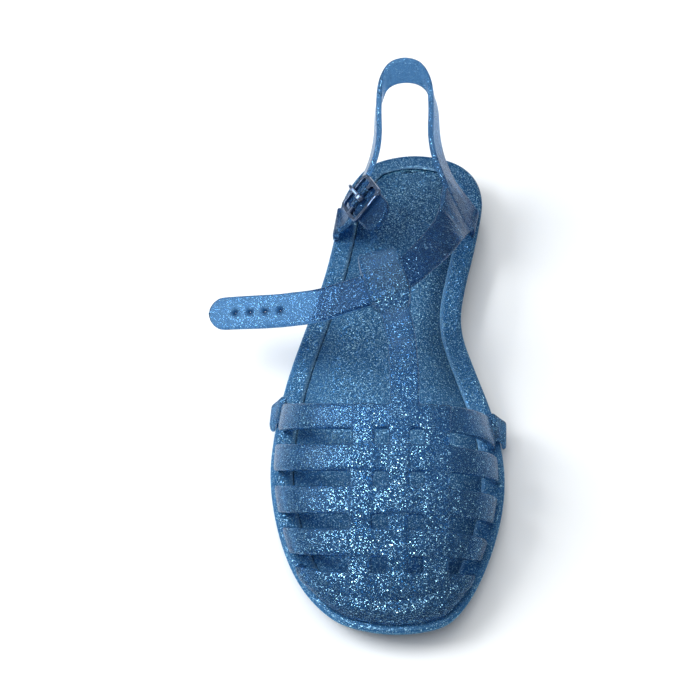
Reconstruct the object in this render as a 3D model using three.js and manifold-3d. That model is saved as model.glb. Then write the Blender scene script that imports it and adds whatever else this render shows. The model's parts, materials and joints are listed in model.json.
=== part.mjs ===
// A moulded jelly sandal for the right foot: a soft sole with a basket-weave vamp, a T-bar
// whose head is a loop, a heel strap that runs into a long ankle strap, and a metal buckle.
// X runs across to the inner side of the foot, the toe points along -Y, and Z is up.
import * as THREE from 'three';
import { mergeVertices } from 'three/addons/utils/BufferGeometryUtils.js';
import Module from 'manifold-3d';

// Sizes of the whole shoe, in millimetres
const LENGTH = 246;
const BALL_WIDTH = 92.5;
const HEEL_WIDTH = 66;
const HEEL_HEIGHT = 15;
const BALL_THICKNESS = 7.5;
const ARCH_RISE = 4.5;
const TOE_SPRING = 5;
const INSTEP_RISE = 48.5;
const BACK_RISE = 75;
const WALL = 2.5;
const CLEARANCE = 0.3;

// Sizes of the sole and the pad in it
const HEEL_CENTRE = 32;
const PAD_INSET = 9;
const PAD_THICKNESS = 2;
const PAD_STEP = 0.7;
const PAD_FIT = 0.4;
const PAD_EDGE = 0.6;
const SOLE_EDGE = 1;
const SOLE_DRAFT = 2;
const GROOVE_DEPTH = 0.7;
const GROOVE_HALF = 0.7;
const TREAD_WIDTH = 2.4;
const TREAD_DEPTH = 1.2;
const TREAD_PITCH = 11;
const SEAT_RISE = 4;
const SEAT_FLARE = 1;
const SEAT_OVERHANG = 0.5;

// Sizes of the vamp
const VAMP_INSET = 2.5;
const RELIEF = 0.8;
const BEVEL = 0.9;
const TOE_BULGE = 1.6;
const WRAP_OUTSET = 3.5;
const WRAP_RISE = 6;
const WRAP_LEAN = 4.5;
const WRAP_CORNER = 1;

// Sizes of the straps
const BACK_STRAP_WIDTH = 12.5;
const ANKLE_STRAP_WIDTH = 14.5;
const TAB_WIDTH = 15;
const TAB_REAR = 10;
const TAB_FRONT = 12;
const STRAP_EDGE = 0.6;
const EDGE_LIMIT = 0.4;
const HOLE_COUNT = 4;
const HOLE_PITCH = 6.9;
const HOLE_RADIUS = 1.3;
const HOLE_FROM_TIP = 12.6;
const T_BAR_WIDTH = 11.5;
const HEAD_WIDTH = 17;
const HEAD_LENGTH = 30;
const HEAD_WALL = 2.1;

// Sizes of the buckle
const FRAME_ACROSS = 18;
const FRAME_ALONG = 16.8;
const FRAME_STOCK = 1.5;
const FRAME_CORNER = 3;
const BAR_RADIUS = 0.8;
const PRONG_RADIUS = 0.8;
const PRONG_TIP = 0.5;
const PRONG_EYE_WIDTH = 2.2;
const PRONG_OVERHANG = 2.6;
const KNUCKLE_RADIUS = 2.1;
const KNUCKLE_LENGTH = 3.6;
const FINGER_ROOM = 1.5;
const BAR_LIFT = CLEARANCE + FRAME_STOCK / 2;

// Fineness of the curves
const OUTLINE_STATIONS = 36;
const OUTLINE_SAMPLES = 720;
const STRAP_STEPS = 3;
const TAB_STEPS = 2;
const ROUND_SIDES = 14;
const CORNER_STEPS = 5;
const SLOPE_REACH = 2;
const MERGE_REACH = 1e-4;

// Outline of the sole: shares of the length from the heel, and of the breadth to each side
const OUTLINE = [
  { at: 0.02, medial: 0.31, lateral: 0.25 },
  { at: 0.06, medial: 0.45, lateral: 0.362 },
  { at: 0.12, medial: 0.51, lateral: 0.445 },
  { at: 0.2, medial: 0.484, lateral: 0.47 },
  { at: 0.3, medial: 0.416, lateral: 0.504 },
  { at: 0.41, medial: 0.327, lateral: 0.513 },
  { at: 0.5, medial: 0.367, lateral: 0.514 },
  { at: 0.6, medial: 0.434, lateral: 0.52 },
  { at: 0.7, medial: 0.479, lateral: 0.525 },
  { at: 0.78, medial: 0.469, lateral: 0.488 },
  { at: 0.86, medial: 0.422, lateral: 0.419 },
  { at: 0.92, medial: 0.366, lateral: 0.336 },
  { at: 0.96, medial: 0.311, lateral: 0.248 },
  { at: 0.985, medial: 0.246, lateral: 0.16 },
];
const HEEL_TIP_SHARE = 0.03;
const TOE_TIP_SHARE = 0.052;
const WAIST = { from: 0.25, to: 0.6 };
const WIDEST = 0.8;

// Side view of the sole: shares of the arch rise and toe spring underneath, and of the heel
// height and the ball thickness on top
const PROFILE = [
  { at: 0, arch: 0, spring: 0, heel: 1.02, ball: 0 },
  { at: 0.13, arch: 0, spring: 0, heel: 1, ball: 0 },
  { at: 0.265, arch: 0, spring: 0, heel: 0.93, ball: 0 },
  { at: 0.285, arch: 0.75, spring: 0, heel: 0.91, ball: 0 },
  { at: 0.4, arch: 1, spring: 0, heel: 0.62, ball: 0.33 },
  { at: 0.5, arch: 0.5, spring: 0, heel: 0.28, ball: 0.68 },
  { at: 0.575, arch: 0, spring: 0, heel: 0.08, ball: 0.93 },
  { at: 0.66, arch: 0, spring: 0, heel: 0, ball: 1 },
  { at: 0.8, arch: 0, spring: 0, heel: 0, ball: 0.96 },
  { at: 0.88, arch: 0, spring: 0.2, heel: 0, ball: 0.88 },
  { at: 0.94, arch: 0, spring: 0.54, heel: 0, ball: 0.8 },
  { at: 1, arch: 0, spring: 1, heel: 0, ball: 0.72 },
];

// Grooves across the underside: where the first lies, as a share of the length, and how many
const TREAD = [
  { from: 0.07, count: 4 },
  { from: 0.6, count: 6 },
];

// Edges of the vamp's cross bands from the rear to the toe: where each meets the sole on the
// outer and inner side, and where its crown lies, as shares of the length and instep rise
const BAND_EDGES = [
  { lateral: 0.568, medial: 0.596, crown: 0.693, rise: 1 },
  { lateral: 0.624, medial: 0.66, crown: 0.732, rise: 0.95 },
  { lateral: 0.65, medial: 0.676, crown: 0.756, rise: 0.911 },
  { lateral: 0.706, medial: 0.726, crown: 0.795, rise: 0.835 },
  { lateral: 0.734, medial: 0.756, crown: 0.816, rise: 0.788 },
  { lateral: 0.787, medial: 0.806, crown: 0.855, rise: 0.699 },
  { lateral: 0.813, medial: 0.836, crown: 0.874, rise: 0.645 },
  { lateral: 0.862, medial: 0.874, crown: 0.911, rise: 0.546 },
  { lateral: 0.884, medial: 0.896, crown: 0.931, rise: 0.489 },
  { lateral: 0.905, medial: 0.915, crown: 0.962, rise: 0.385 },
];
const TOE_ROW_START = 0.93;

// Long strips of the weave: their edges across the foot as shares of the ball width
const STRIPS = [
  { from: -0.135, to: -0.04 },
  { from: 0.02, to: 0.105 },
  { from: 0.165, to: 0.266 },
];
const CROWN_ACROSS = 0.062;
const SIDE_SPLITS = 6;
const ROUNDNESS = 0.85;

// Where the quarters and the ends of the vamp's rear band meet the sole's edge, as shares of
// the length, and how far they stand out over it, as shares of the sizes for that
const SEATS = {
  medial: { rear: 0.158, front: 0.218, overhang: -1.8 },
  lateral: { rear: 0.15, front: 0.222, overhang: 0.1 },
};
const WRAPS = [
  { side: 'lateral', rear: 0.57, front: 0.617, outset: 0.74 },
  { side: 'medial', rear: 0.602, front: 0.65, outset: 0.6 },
];

// Shape of a band's end: heights as shares of its rise, and how far it leans in over the rim
const WRAP_SHAPE = [
  { up: -0.58, lean: 0 },
  { up: 0.1, lean: 0 },
  { up: 0.42, lean: 0.44 },
  { up: 1, lean: 1 },
];

// Heel strap from the middle of the back down to the inner quarter: a point on its upper and
// on its lower edge (across, along, up, as shares of heel width, length and back rise), and
// its width as a share of the strap width
const BACK_ARM = [
  { upper: [0.015, 0.015, 1], lower: [0.015, 0.02, 0.835], wide: 1 },
  { upper: [0.118, 0.019, 0.975], lower: [0.126, 0.023, 0.808], wide: 1 },
  { upper: [0.174, 0.038, 0.893], lower: [0.186, 0.03, 0.73], wide: 1 },
  { upper: [0.184, 0.077, 0.793], lower: [0.212, 0.043, 0.663], wide: 1.06 },
  { upper: [0.181, 0.108, 0.707], lower: [0.222, 0.073, 0.565], wide: 1.16 },
  { upper: [0.196, 0.134, 0.64], lower: [0.255, 0.102, 0.473], wide: 1.28 },
  { upper: [0.23, 0.157, 0.587], lower: [0.32, 0.13, 0.38], wide: 1.42 },
  { upper: [0.273, 0.183, 0.533], lower: [0.402, 0.145, 0.295], wide: 1.7 },
  { upper: [0.4, 0.216, 0.32], lower: [0.46, 0.156, 0.23], wide: 1.5 },
];

// Ankle strap from the inner quarter over the instep and out to its free tip, in the same
// columns, with the first as a share of the sole's breadth there and the third of the instep rise
const ANKLE_STRAP = [
  { upper: [0.287, 0.163, 0.79], lower: [0.44, 0.213, 0.345], wide: 1.75 },
  { upper: [0.262, 0.187, 0.831], lower: [0.425, 0.236, 0.425], wide: 1.6 },
  { upper: [0.256, 0.232, 0.831], lower: [0.41, 0.265, 0.57], wide: 1.2 },
  { upper: [0.223, 0.273, 0.829], lower: [0.381, 0.297, 0.705], wide: 1 },
  { upper: [0.165, 0.314, 0.887], lower: [0.297, 0.35, 0.804], wide: 1 },
  { upper: [0.079, 0.36, 0.946], lower: [0.193, 0.405, 0.909], wide: 1 },
  { upper: [0.016, 0.392, 0.99], lower: [0.101, 0.443, 0.944], wide: 1 },
  { upper: [-0.06, 0.411, 0.992], lower: [0.013, 0.465, 0.961], wide: 1 },
  { upper: [-0.113, 0.42, 0.988], lower: [-0.067, 0.477, 0.93], wide: 1 },
  { upper: [-0.215, 0.424, 0.92], lower: [-0.16, 0.481, 0.874], wide: 1 },
  { upper: [-0.295, 0.425, 0.868], lower: [-0.248, 0.482, 0.802], wide: 1 },
  { upper: [-0.393, 0.428, 0.827], lower: [-0.345, 0.483, 0.72], wide: 1 },
  { upper: [-0.486, 0.425, 0.773], lower: [-0.433, 0.48, 0.67], wide: 1 },
  { upper: [-0.609, 0.42, 0.715], lower: [-0.55, 0.474, 0.604], wide: 1 },
  { upper: [-0.727, 0.414, 0.668], lower: [-0.666, 0.468, 0.548], wide: 1 },
  { upper: [-0.841, 0.408, 0.621], lower: [-0.768, 0.463, 0.513], wide: 1 },
  { upper: [-0.947, 0.402, 0.57], lower: [-0.869, 0.457, 0.47], wide: 1 },
];
const TIP_ROUNDING = [
  { along: 0, wide: 1 },
  { along: 0.35, wide: 0.94 },
  { along: 0.68, wide: 0.73 },
  { along: 0.9, wide: 0.44 },
  { along: 1, wide: 0.12 },
];

// T-bar from inside the vamp back to its head: centre line as shares of ball width, length
// and instep rise
const T_BAR = [
  { across: 0.076, at: 0.73, rise: 0.93 },
  { across: 0.079, at: 0.7, rise: 0.99 },
  { across: 0.073, at: 0.646, rise: 1.018 },
  { across: 0.054, at: 0.578, rise: 1.018 },
  { across: 0.026, at: 0.52, rise: 1.003 },
  { across: -0.017, at: 0.464, rise: 0.985 },
  { across: -0.062, at: 0.408, rise: 0.974 },
];

// Head of the T-bar from its front to its rear: shares of its length, width and thickness
const HEAD = [
  { along: -0.58, wide: 0.6, thick: 0.3 },
  { along: -0.46, wide: 0.86, thick: 0.9 },
  { along: -0.36, wide: 1, thick: 1 },
  { along: 0.38, wide: 1, thick: 1 },
  { along: 0.46, wide: 0.9, thick: 0.9 },
  { along: 0.5, wide: 0.72, thick: 0.6 },
];

// Buckle's seat: centre of the tab under the bar, the way the tab runs and the way it is wide
const BUCKLE_SEAT = { across: -0.17, at: 0.2185, rise: 0.804 };
const TAB_RUN = [0.44, 0.87, 0.2];
const TAB_WIDE = [0.636, -0.461, 0.619];
const TAB_TAPER = [
  { along: -1, wide: 0.8 },
  { along: -0.5, wide: 0.96 },
  { along: 0, wide: 1 },
];

const wasm = await Module();
wasm.setup();

// Point from the distance across, the distance from the back of the heel, and the height
function spot(across, along, rise) {
  return new THREE.Vector3(across, HEEL_CENTRE - along, rise);
}

// Value of one column of a table at a place, by a curve that never overshoots its rows
function column(rows, key, at) {
  const last = rows.length - 1;
  const place = Math.min(Math.max(at, rows[0].at), rows[last].at);
  let i = 0;
  while (i < last - 1 && place > rows[i + 1].at) i += 1;
  const slope = (k) => (rows[k + 1][key] - rows[k][key]) / (rows[k + 1].at - rows[k].at);
  const tangent = (k) => {
    if (k === 0 || k === last) return 0;
    const before = slope(k - 1);
    const after = slope(k);
    return before * after <= 0 ? 0 : (2 * before * after) / (before + after);
  };
  const step = rows[i + 1].at - rows[i].at;
  const t = (place - rows[i].at) / step;
  const rest = 1 - t;
  return rows[i][key] * rest * rest * (1 + 2 * t) + rows[i + 1][key] * t * t * (3 - 2 * t)
    + step * t * rest * (tangent(i) * rest - tangent(i + 1) * t);
}

// Breadth that the outline's shares are taken of: the heel's, then the ball's
function breadth(at) {
  const share = THREE.MathUtils.smoothstep(at, WAIST.from, WAIST.to);
  return THREE.MathUtils.lerp(HEEL_WIDTH, BALL_WIDTH, share);
}

// Height of the sole's underside at a distance from the back of the heel
function floorHeight(along) {
  const at = along / LENGTH;
  return column(PROFILE, 'arch', at) * ARCH_RISE + column(PROFILE, 'spring', at) * TOE_SPRING;
}

// Height of the sole's rim
function rimHeight(along) {
  const at = along / LENGTH;
  return column(PROFILE, 'heel', at) * HEEL_HEIGHT + column(PROFILE, 'ball', at) * BALL_THICKNESS
    + column(PROFILE, 'spring', at) * TOE_SPRING;
}

// The outline as a closed loop, from the heel up the inner side, round the toe and back
function outlineLoop() {
  const side = (row, key, sign) => (
    new THREE.Vector3(sign * row[key] * breadth(row.at), row.at * LENGTH, 0));
  const points = [
    new THREE.Vector3(HEEL_TIP_SHARE * HEEL_WIDTH, 0, 0),
    ...OUTLINE.map((row) => side(row, 'medial', 1)),
    new THREE.Vector3(TOE_TIP_SHARE * BALL_WIDTH, LENGTH, 0),
    ...OUTLINE.map((row) => side(row, 'lateral', -1)).reverse(),
  ];
  const curve = new THREE.CatmullRomCurve3(points, true, 'centripetal');
  return curve.getPoints(OUTLINE_SAMPLES).slice(0, OUTLINE_SAMPLES);
}

const loop = outlineLoop();
const toeSample = loop.reduce((best, p, i) => (p.y > loop[best].y ? i : best), 0);

// Point on the loop at a sample number, moved inward by an inset
function onLoop(sample, inset) {
  const count = loop.length;
  const i = ((Math.floor(sample) % count) + count) % count;
  const here = loop[i].clone().lerp(loop[(i + 1) % count], sample - Math.floor(sample));
  const along = loop[(i + 1 + SLOPE_REACH) % count].clone()
    .sub(loop[(i + count - SLOPE_REACH) % count]).normalize();
  return { across: here.x - along.y * inset, along: here.y + along.x * inset };
}

// Sample number where one side of the loop reaches a distance along the foot
function sampleAlong(side, along) {
  const from = side === 'medial' ? 0 : loop.length;
  const turn = side === 'medial' ? 1 : -1;
  let i = 0;
  const reach = (k) => loop[(from + turn * k + loop.length) % loop.length].y;
  while (reach(i + 1) < along) i += 1;
  const part = (along - reach(i)) / (reach(i + 1) - reach(i));
  return from + turn * (i + part);
}

// Sample number where the toe end of the loop crosses a distance across the foot
function sampleAcross(across) {
  let i = Math.floor(sampleAlong('medial', WIDEST * LENGTH));
  while (loop[i + 1].x > across) i += 1;
  return i + (loop[i].x - across) / (loop[i].x - loop[i + 1].x);
}

// Sample numbers of the outline's stations, closer together at the heel and toe
function stationSamples() {
  const places = [];
  for (let i = 0; i < OUTLINE_STATIONS; i += 1) {
    places.push((LENGTH * (1 - Math.cos((Math.PI * (i + 0.5)) / OUTLINE_STATIONS))) / 2);
  }
  const inner = places.map((along) => sampleAlong('medial', along));
  const outer = places.map((along) => sampleAlong('lateral', along)).reverse();
  return [...inner, ...outer];
}

// Closed solid from points and triangles, turned right side out
function solidOf(points, triangles) {
  let volume = 0;
  for (const [a, b, c] of triangles) {
    volume += points[a].dot(points[b].clone().cross(points[c]));
  }
  const faces = volume < 0 ? triangles.map(([a, b, c]) => [a, c, b]) : triangles;
  return new wasm.Manifold(new wasm.Mesh({
    numProp: 3,
    vertProperties: new Float32Array(points.flatMap((p) => [p.x, p.y, p.z])),
    triVerts: new Uint32Array(faces.flat()),
  }));
}

// Solid of a three.js geometry, moved by a matrix
function solidFrom(geometry, matrix) {
  const bare = geometry.clone();
  bare.deleteAttribute('normal');
  bare.deleteAttribute('uv');
  bare.applyMatrix4(matrix);
  const merged = mergeVertices(bare, MERGE_REACH);
  const place = merged.getAttribute('position');
  const points = [];
  for (let i = 0; i < place.count; i += 1) {
    points.push(new THREE.Vector3().fromBufferAttribute(place, i));
  }
  const triangles = [];
  for (let i = 0; i < merged.index.count; i += 3) {
    const corner = [0, 1, 2].map((k) => merged.index.getX(i + k));
    if (new Set(corner).size === 3) triangles.push(corner);
  }
  return solidOf(points, triangles);
}

// Solid through a row of rings with as many points each; flat ends join opposite points
function loft(rings) {
  const count = rings[0].length;
  const triangles = [];
  const quad = (a, b, c, d) => triangles.push([a, b, c], [a, c, d]);
  for (let r = 0; r < rings.length - 1; r += 1) {
    for (let i = 0; i < count; i += 1) {
      const next = (i + 1) % count;
      quad(r * count + i, r * count + next, (r + 1) * count + next, (r + 1) * count + i);
    }
  }
  const cap = (base, flip) => {
    for (let i = 0; i < count / 2 - 1; i += 1) {
      const corner = [i, i + 1, count - 2 - i, count - 1 - i].map((k) => base + k);
      quad(...(flip ? corner.reverse() : corner));
    }
  };
  cap(0, true);
  cap((rings.length - 1) * count, false);
  return solidOf(rings.flat(), triangles);
}

// Ring around the sole at an inset, with its height worked out at each point
function soleRing(inset, height) {
  return stationSamples().map((sample) => {
    const { across, along } = onLoop(sample, inset);
    return spot(across, along, height(along));
  });
}

// Grooves across the underside, one box each
function treadGrooves() {
  const box = new THREE.BoxGeometry(2 * BALL_WIDTH, TREAD_WIDTH, 2 * TREAD_DEPTH);
  return TREAD.flatMap(({ from, count }) => Array.from({ length: count }, (_, i) => (
    solidFrom(box, new THREE.Matrix4().setPosition(spot(0, from * LENGTH + i * TREAD_PITCH, 0))))));
}

// The sole: arch, heel, toe spring, a line around its side and a bed for the pad
function outsole() {
  const middle = (along) => (floorHeight(along) + rimHeight(along)) / 2;
  const bed = PAD_THICKNESS + PAD_STEP + CLEARANCE;
  const body = loft([
    soleRing(SOLE_DRAFT + SOLE_EDGE, floorHeight),
    soleRing(SOLE_DRAFT, (s) => floorHeight(s) + SOLE_EDGE),
    soleRing(SOLE_DRAFT / 2, (s) => middle(s) - GROOVE_HALF),
    soleRing(SOLE_DRAFT / 2 + GROOVE_DEPTH, middle),
    soleRing(SOLE_DRAFT / 2, (s) => middle(s) + GROOVE_HALF),
    soleRing(0, (s) => rimHeight(s) - SOLE_EDGE),
    soleRing(SOLE_EDGE, rimHeight),
    soleRing(PAD_INSET, rimHeight),
    soleRing(PAD_INSET, (s) => rimHeight(s) - bed),
  ]);
  return treadGrooves().reduce((sum, cut) => sum.subtract(cut), body);
}

// The pad that lies in the sole, just under its rim
function footbed() {
  const inset = PAD_INSET + PAD_FIT;
  const top = (s) => rimHeight(s) - PAD_STEP;
  return loft([
    soleRing(inset, (s) => top(s) - PAD_THICKNESS),
    soleRing(inset, (s) => top(s) - PAD_EDGE),
    soleRing(inset + PAD_EDGE, top),
  ]);
}

// Section of a strap at one station: a flat bar with bevelled corners
function strapSection(centre, wide, out, width, thick) {
  const half = width / 2;
  const rise = thick / 2;
  const edge = Math.min(STRAP_EDGE, EDGE_LIMIT * thick, EDGE_LIMIT * width);
  const corners = [
    [half - edge, rise], [half, rise - edge], [half, edge - rise], [half - edge, -rise],
    [edge - half, -rise], [-half, edge - rise], [-half, rise - edge], [edge - half, rise],
  ];
  return corners.map(([w, n]) => centre.clone().addScaledVector(wide, w).addScaledVector(out, n));
}

// Strap through rows of centre, width direction, width and thickness, smoothed between rows
function strap(rows, steps = STRAP_STEPS) {
  const line = (key) => new THREE.CatmullRomCurve3(rows.map((row) => row[key]), false, 'centripetal');
  const centres = line('centre');
  const last = rows.length - 1;
  const rings = [];
  for (let i = 0; i <= last * steps; i += 1) {
    const place = i / steps;
    const k = Math.min(Math.floor(place), last - 1);
    const part = place - k;
    const t = place / last;
    const centre = centres.getPoint(t);
    const tangent = centres.getTangent(t);
    const wide = rows[k].wide.clone().lerp(rows[k + 1].wide, part).normalize();
    const out = wide.clone().cross(tangent).normalize();
    const width = THREE.MathUtils.lerp(rows[k].width, rows[k + 1].width, part);
    const thick = THREE.MathUtils.lerp(rows[k].thick, rows[k + 1].thick, part);
    rings.push(strapSection(centre, wide, out, width, thick));
  }
  return loft(rings);
}

// Strap row from a table's upper and lower edge points; base gives the breadth at a place
function edgeRow(row, base, rise, width, mirrorAbout = null) {
  const point = ([across, at, up]) => {
    const x = across * base(at);
    return spot(mirrorAbout === null ? x : 2 * mirrorAbout - x, at * LENGTH, up * rise);
  };
  const upper = point(row.upper);
  const lower = point(row.lower);
  return {
    centre: upper.clone().lerp(lower, 0.5),
    wide: upper.clone().sub(lower).normalize(),
    width: row.wide * width,
    thick: WALL,
  };
}

// Rows that bring a quarter down on the sole's rim
function seatRows(side) {
  const inset = WALL / 2 - SEATS[side].overhang * SEAT_OVERHANG;
  const row = (up, spread) => {
    const end = (place) => {
      const { across, along } = onLoop(sampleAlong(side, place), inset);
      return spot(across, along, rimHeight(along) + up);
    };
    const front = end(SEATS[side].front * LENGTH - spread);
    const rear = end(SEATS[side].rear * LENGTH + spread);
    return {
      centre: front.clone().lerp(rear, 0.5),
      wide: front.clone().sub(rear).normalize(),
      width: front.distanceTo(rear),
      thick: WALL,
    };
  };
  return [row(SEAT_RISE, SEAT_FLARE), row(CLEARANCE, 0)];
}

// Heel strap with both quarters, before the ankle strap and the tab are joined to it
function backStrap() {
  const middle = HEEL_TIP_SHARE * HEEL_WIDTH / 2;
  const arm = (mirror) => BACK_ARM.map((row) => (
    edgeRow(row, () => HEEL_WIDTH, BACK_RISE, BACK_STRAP_WIDTH, mirror)));
  const inner = [...arm(null), ...seatRows('medial')];
  const outer = [...arm(middle), ...seatRows('lateral')];
  return strap([...outer.reverse(), ...inner.slice(1)]);
}

// Block that wraps the sole's edge: inside it follows the sole, outside it is straight, and
// above the rim it leans in over the sole to meet what it carries
function wrapBlock({ side, rear, front, outset }) {
  const start = rear * LENGTH;
  const end = front * LENGTH;
  const turn = side === 'medial' ? 1 : -1;
  const reach = [start, end].map((at) => (
    turn * onLoop(sampleAlong(side, at), -outset * WRAP_OUTSET).across));
  const far = turn * Math.max(...reach);
  const ring = (shape) => {
    const up = shape.up * WRAP_RISE;
    const lean = shape.lean * WRAP_LEAN;
    const inner = [0, 1 / 3, 2 / 3, 1].map((share) => {
      const place = sampleAlong(side, THREE.MathUtils.lerp(start, end, share));
      const { across, along } = onLoop(place, lean - CLEARANCE);
      return spot(across, along, rimHeight(along) + up);
    });
    const outer = [
      { at: end, cut: SOLE_EDGE },
      { at: end - WRAP_CORNER, cut: 0 },
      { at: start + WRAP_CORNER, cut: 0 },
      { at: start, cut: SOLE_EDGE },
    ].map(({ at, cut }) => spot(far - turn * (cut + lean), at, rimHeight(at) + up));
    return [...inner, ...outer];
  };
  return loft(WRAP_SHAPE.map(ring));
}

// Rows of the ankle strap, with its rounded tip; slack widens and thickens it all round
function ankleRows(slack = 0) {
  const rows = ANKLE_STRAP.map((row) => (
    edgeRow(row, breadth, INSTEP_RISE, ANKLE_STRAP_WIDTH)));
  const end = rows.pop();
  const run = end.centre.clone().sub(rows[rows.length - 1].centre).normalize();
  const tip = TIP_ROUNDING.map(({ along, wide }) => ({
    centre: end.centre.clone().addScaledVector(run, (along * ANKLE_STRAP_WIDTH) / 2),
    wide: end.wide,
    width: wide * ANKLE_STRAP_WIDTH,
    thick: WALL,
  }));
  return [...rows, ...tip].map((row) => (
    { ...row, width: row.width + 2 * slack, thick: row.thick + 2 * slack }));
}

// Pins through the ankle strap that cut its row of holes
function strapHoles() {
  const rows = ankleRows();
  const centres = new THREE.CatmullRomCurve3(rows.map((row) => row.centre), false, 'centripetal');
  const length = centres.getLength();
  const wide = rows[rows.length - 1].wide;
  const cuts = [];
  for (let i = 0; i < HOLE_COUNT; i += 1) {
    const u = 1 - (HOLE_FROM_TIP + i * HOLE_PITCH) / length;
    const out = wide.clone().cross(centres.getTangentAt(u)).normalize();
    cuts.push(rod(centres.getPointAt(u), out, HOLE_RADIUS, 3 * WALL));
  }
  return cuts;
}

// Round rod about a centre along a direction
function rod(centre, direction, radius, length) {
  const turn = new THREE.Quaternion().setFromUnitVectors(new THREE.Vector3(0, 1, 0), direction);
  const matrix = new THREE.Matrix4().compose(centre, turn, new THREE.Vector3(1, 1, 1));
  return solidFrom(new THREE.CylinderGeometry(radius, radius, length, ROUND_SIDES), matrix);
}

// Frame of the buckle's seat: a runs across the tab, b along it to the front, c outward
function buckleSeat() {
  const centre = spot(BUCKLE_SEAT.across * BALL_WIDTH, BUCKLE_SEAT.at * LENGTH,
    BUCKLE_SEAT.rise * INSTEP_RISE);
  const along = new THREE.Vector3(TAB_RUN[0], -TAB_RUN[1], TAB_RUN[2]).normalize();
  const wide = new THREE.Vector3(TAB_WIDE[0], -TAB_WIDE[1], TAB_WIDE[2]);
  wide.addScaledVector(along, -wide.dot(along)).normalize();
  const out = along.clone().cross(wide).normalize();
  const face = centre.clone().addScaledVector(out, WALL / 2);
  const at = (a, b, c) => face.clone().addScaledVector(wide, a).addScaledVector(along, b)
    .addScaledVector(out, c);
  const matrix = (a, b, c) => new THREE.Matrix4().makeBasis(wide, along, out)
    .setPosition(at(a, b, c));
  return { centre, wide, along, out, at, matrix };
}

const seat = buckleSeat();

// Tab that carries the buckle, straight under the frame and rounded at its front
function tab() {
  const row = (b, share) => ({
    centre: seat.centre.clone().addScaledVector(seat.along, b),
    wide: seat.wide,
    width: share * TAB_WIDTH,
    thick: WALL,
  });
  const front = TIP_ROUNDING.map(({ along, wide }) => (
    row(TAB_FRONT + (along * TAB_WIDTH) / 2, wide)));
  const rear = TAB_TAPER.map(({ along, wide }) => row(along * TAB_REAR, wide));
  return strap([...rear, ...front], TAB_STEPS);
}

// Box in the buckle's seat, from its lower to its upper corner
function seatBox(low, high) {
  const size = high.map((v, i) => v - low[i]);
  const [a, b, c] = high.map((v, i) => (v + low[i]) / 2);
  return solidFrom(new THREE.BoxGeometry(...size), seat.matrix(a, b, c));
}

// Moulded knuckles that hold the buckle's bar, one on each side of the prong
function knuckles() {
  const inner = PRONG_EYE_WIDTH / 2 + CLEARANCE;
  const centre = inner + KNUCKLE_LENGTH / 2;
  return [-centre, centre].map((a) => (
    rod(seat.at(a, 0, BAR_LIFT), seat.wide, KNUCKLE_RADIUS, KNUCKLE_LENGTH)));
}

// Heel strap, quarters, ankle strap and buckle tab as one moulding
function heelStrap() {
  let body = backStrap().add(strap(ankleRows()));
  const beside = FRAME_ACROSS / 2 + FINGER_ROOM;
  const behind = FRAME_ALONG / 2 + PRONG_OVERHANG + FINGER_ROOM;
  body = body.subtract(seatBox([-beside, -behind, 0], [beside, TAB_FRONT, 4 * WALL]));
  body = body.add(tab());
  for (const knuckle of knuckles()) body = body.add(knuckle);
  body = body.subtract(rod(seat.at(0, 0, BAR_LIFT), seat.wide, BAR_RADIUS + CLEARANCE, FRAME_ACROSS));
  const eye = PRONG_EYE_WIDTH / 2 + CLEARANCE;
  const eyeReach = BAR_RADIUS + CLEARANCE + 2 * PRONG_RADIUS + CLEARANCE;
  body = body.subtract(seatBox([-eye, -eyeReach, -2 * WALL], [eye, eyeReach, 4 * WALL]));
  return strapHoles().reduce((sum, cut) => sum.subtract(cut), body);
}

// Line across the vamp from the sole on one side over the crown to the other side
function vampPoint(side, edge, turn) {
  const foot = onLoop(sampleAlong(side, edge[side] * LENGTH), VAMP_INSET);
  const footRise = rimHeight(foot.along) + CLEARANCE;
  const level = Math.sin(turn) ** ROUNDNESS;
  const reach = Math.cos(turn) ** ROUNDNESS;
  const crown = CROWN_ACROSS * BALL_WIDTH;
  return spot(
    THREE.MathUtils.lerp(crown, foot.across, reach),
    THREE.MathUtils.lerp(foot.along, edge.crown * LENGTH, level),
    THREE.MathUtils.lerp(footRise, edge.rise * INSTEP_RISE, level),
  );
}

// Turn about the crown at which a vamp line is a given distance across the foot
function turnAt(side, edge, across) {
  const foot = onLoop(sampleAlong(side, edge[side] * LENGTH), VAMP_INSET).across;
  const crown = CROWN_ACROSS * BALL_WIDTH;
  return Math.acos(Math.min(1, Math.max(0, (across - crown) / (foot - crown))) ** (1 / ROUNDNESS));
}

// Columns of the vamp: side columns run from the sole to the outer strips, and each strip
// has its two edges with a bevel line inside each
function vampColumns() {
  const columns = [];
  const first = STRIPS[0].from * BALL_WIDTH;
  const final = STRIPS[STRIPS.length - 1].to * BALL_WIDTH;
  for (let i = 0; i < SIDE_SPLITS; i += 1) {
    columns.push({ side: 'lateral', part: i / SIDE_SPLITS, across: first, zone: 'side' });
  }
  STRIPS.forEach((strip, index) => {
    const from = strip.from * BALL_WIDTH;
    const to = strip.to * BALL_WIDTH;
    [from, from + BEVEL, to - BEVEL, to].forEach((across, line) => columns.push({
      part: 1,
      across,
      strip: index,
      zone: line === 1 || line === 2 ? 'strip' : 'edge',
    }));
  });
  for (let i = SIDE_SPLITS - 1; i >= 0; i -= 1) {
    columns.push({ side: 'medial', part: i / SIDE_SPLITS, across: final, zone: 'side' });
  }
  const crown = CROWN_ACROSS * BALL_WIDTH;
  return columns.map((c) => ({ ...c, side: c.side ?? (c.across < crown ? 'lateral' : 'medial') }));
}

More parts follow.
